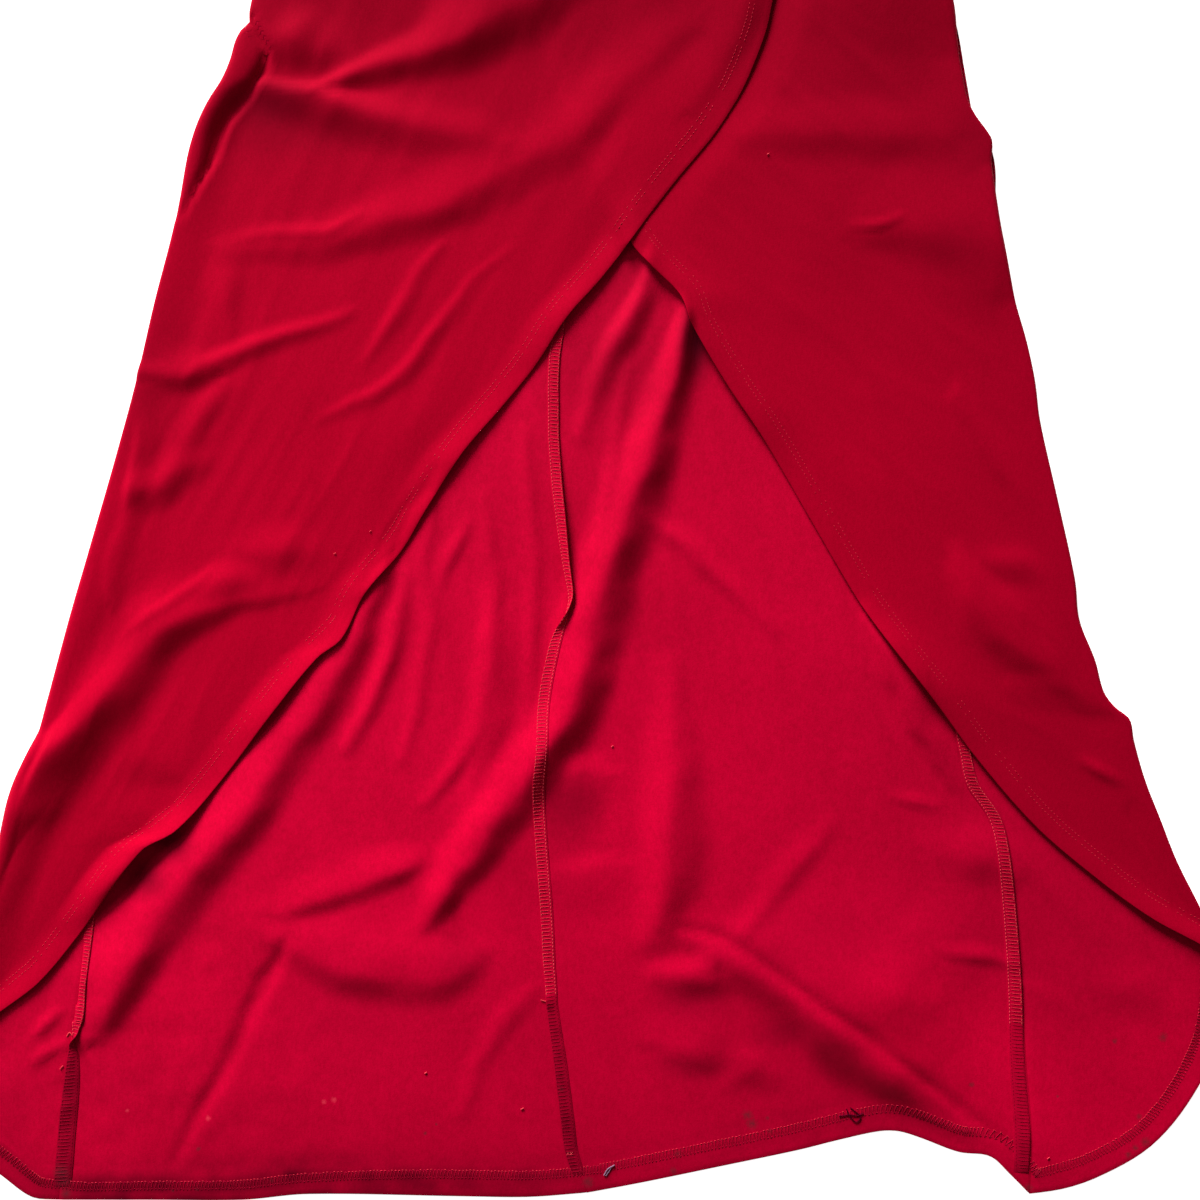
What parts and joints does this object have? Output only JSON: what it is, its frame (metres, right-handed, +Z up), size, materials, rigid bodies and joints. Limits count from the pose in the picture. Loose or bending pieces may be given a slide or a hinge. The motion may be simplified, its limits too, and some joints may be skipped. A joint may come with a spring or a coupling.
{
  "type": "maxi dress with wrapped front, laid flat",
  "caption": "Sleeveless maxi dress with a wrapped, open-fronted skirt that curves up from the hem, laid flat on its back.",
  "frame": {"origin": "centre of the laid-out dress in plan, on the surface it lies on", "axes": "+Z up from the surface, +Y from the hem to the neck, +X to the wearer's left"},
  "size_m": [0.9171, 1.452, 0.012],
  "materials": {
    "crepe_outside": "matte crimson stretch crepe, outside face",
    "crepe_inside": "inside face of the same crepe, smoother and a little lighter, with a soft sheen",
    "sewing_thread": "crimson polyester overlock and topstitch thread"
  },
  "bodies": {
    "root": {"skirt_front_right": "crepe_outside", "skirt_front_left": "crepe_outside", "skirt_back_right": "crepe_inside", "skirt_back_left": "crepe_inside", "bodice_front": "crepe_outside", "bodice_back": "crepe_outside"}
  },
  "joints": []
}
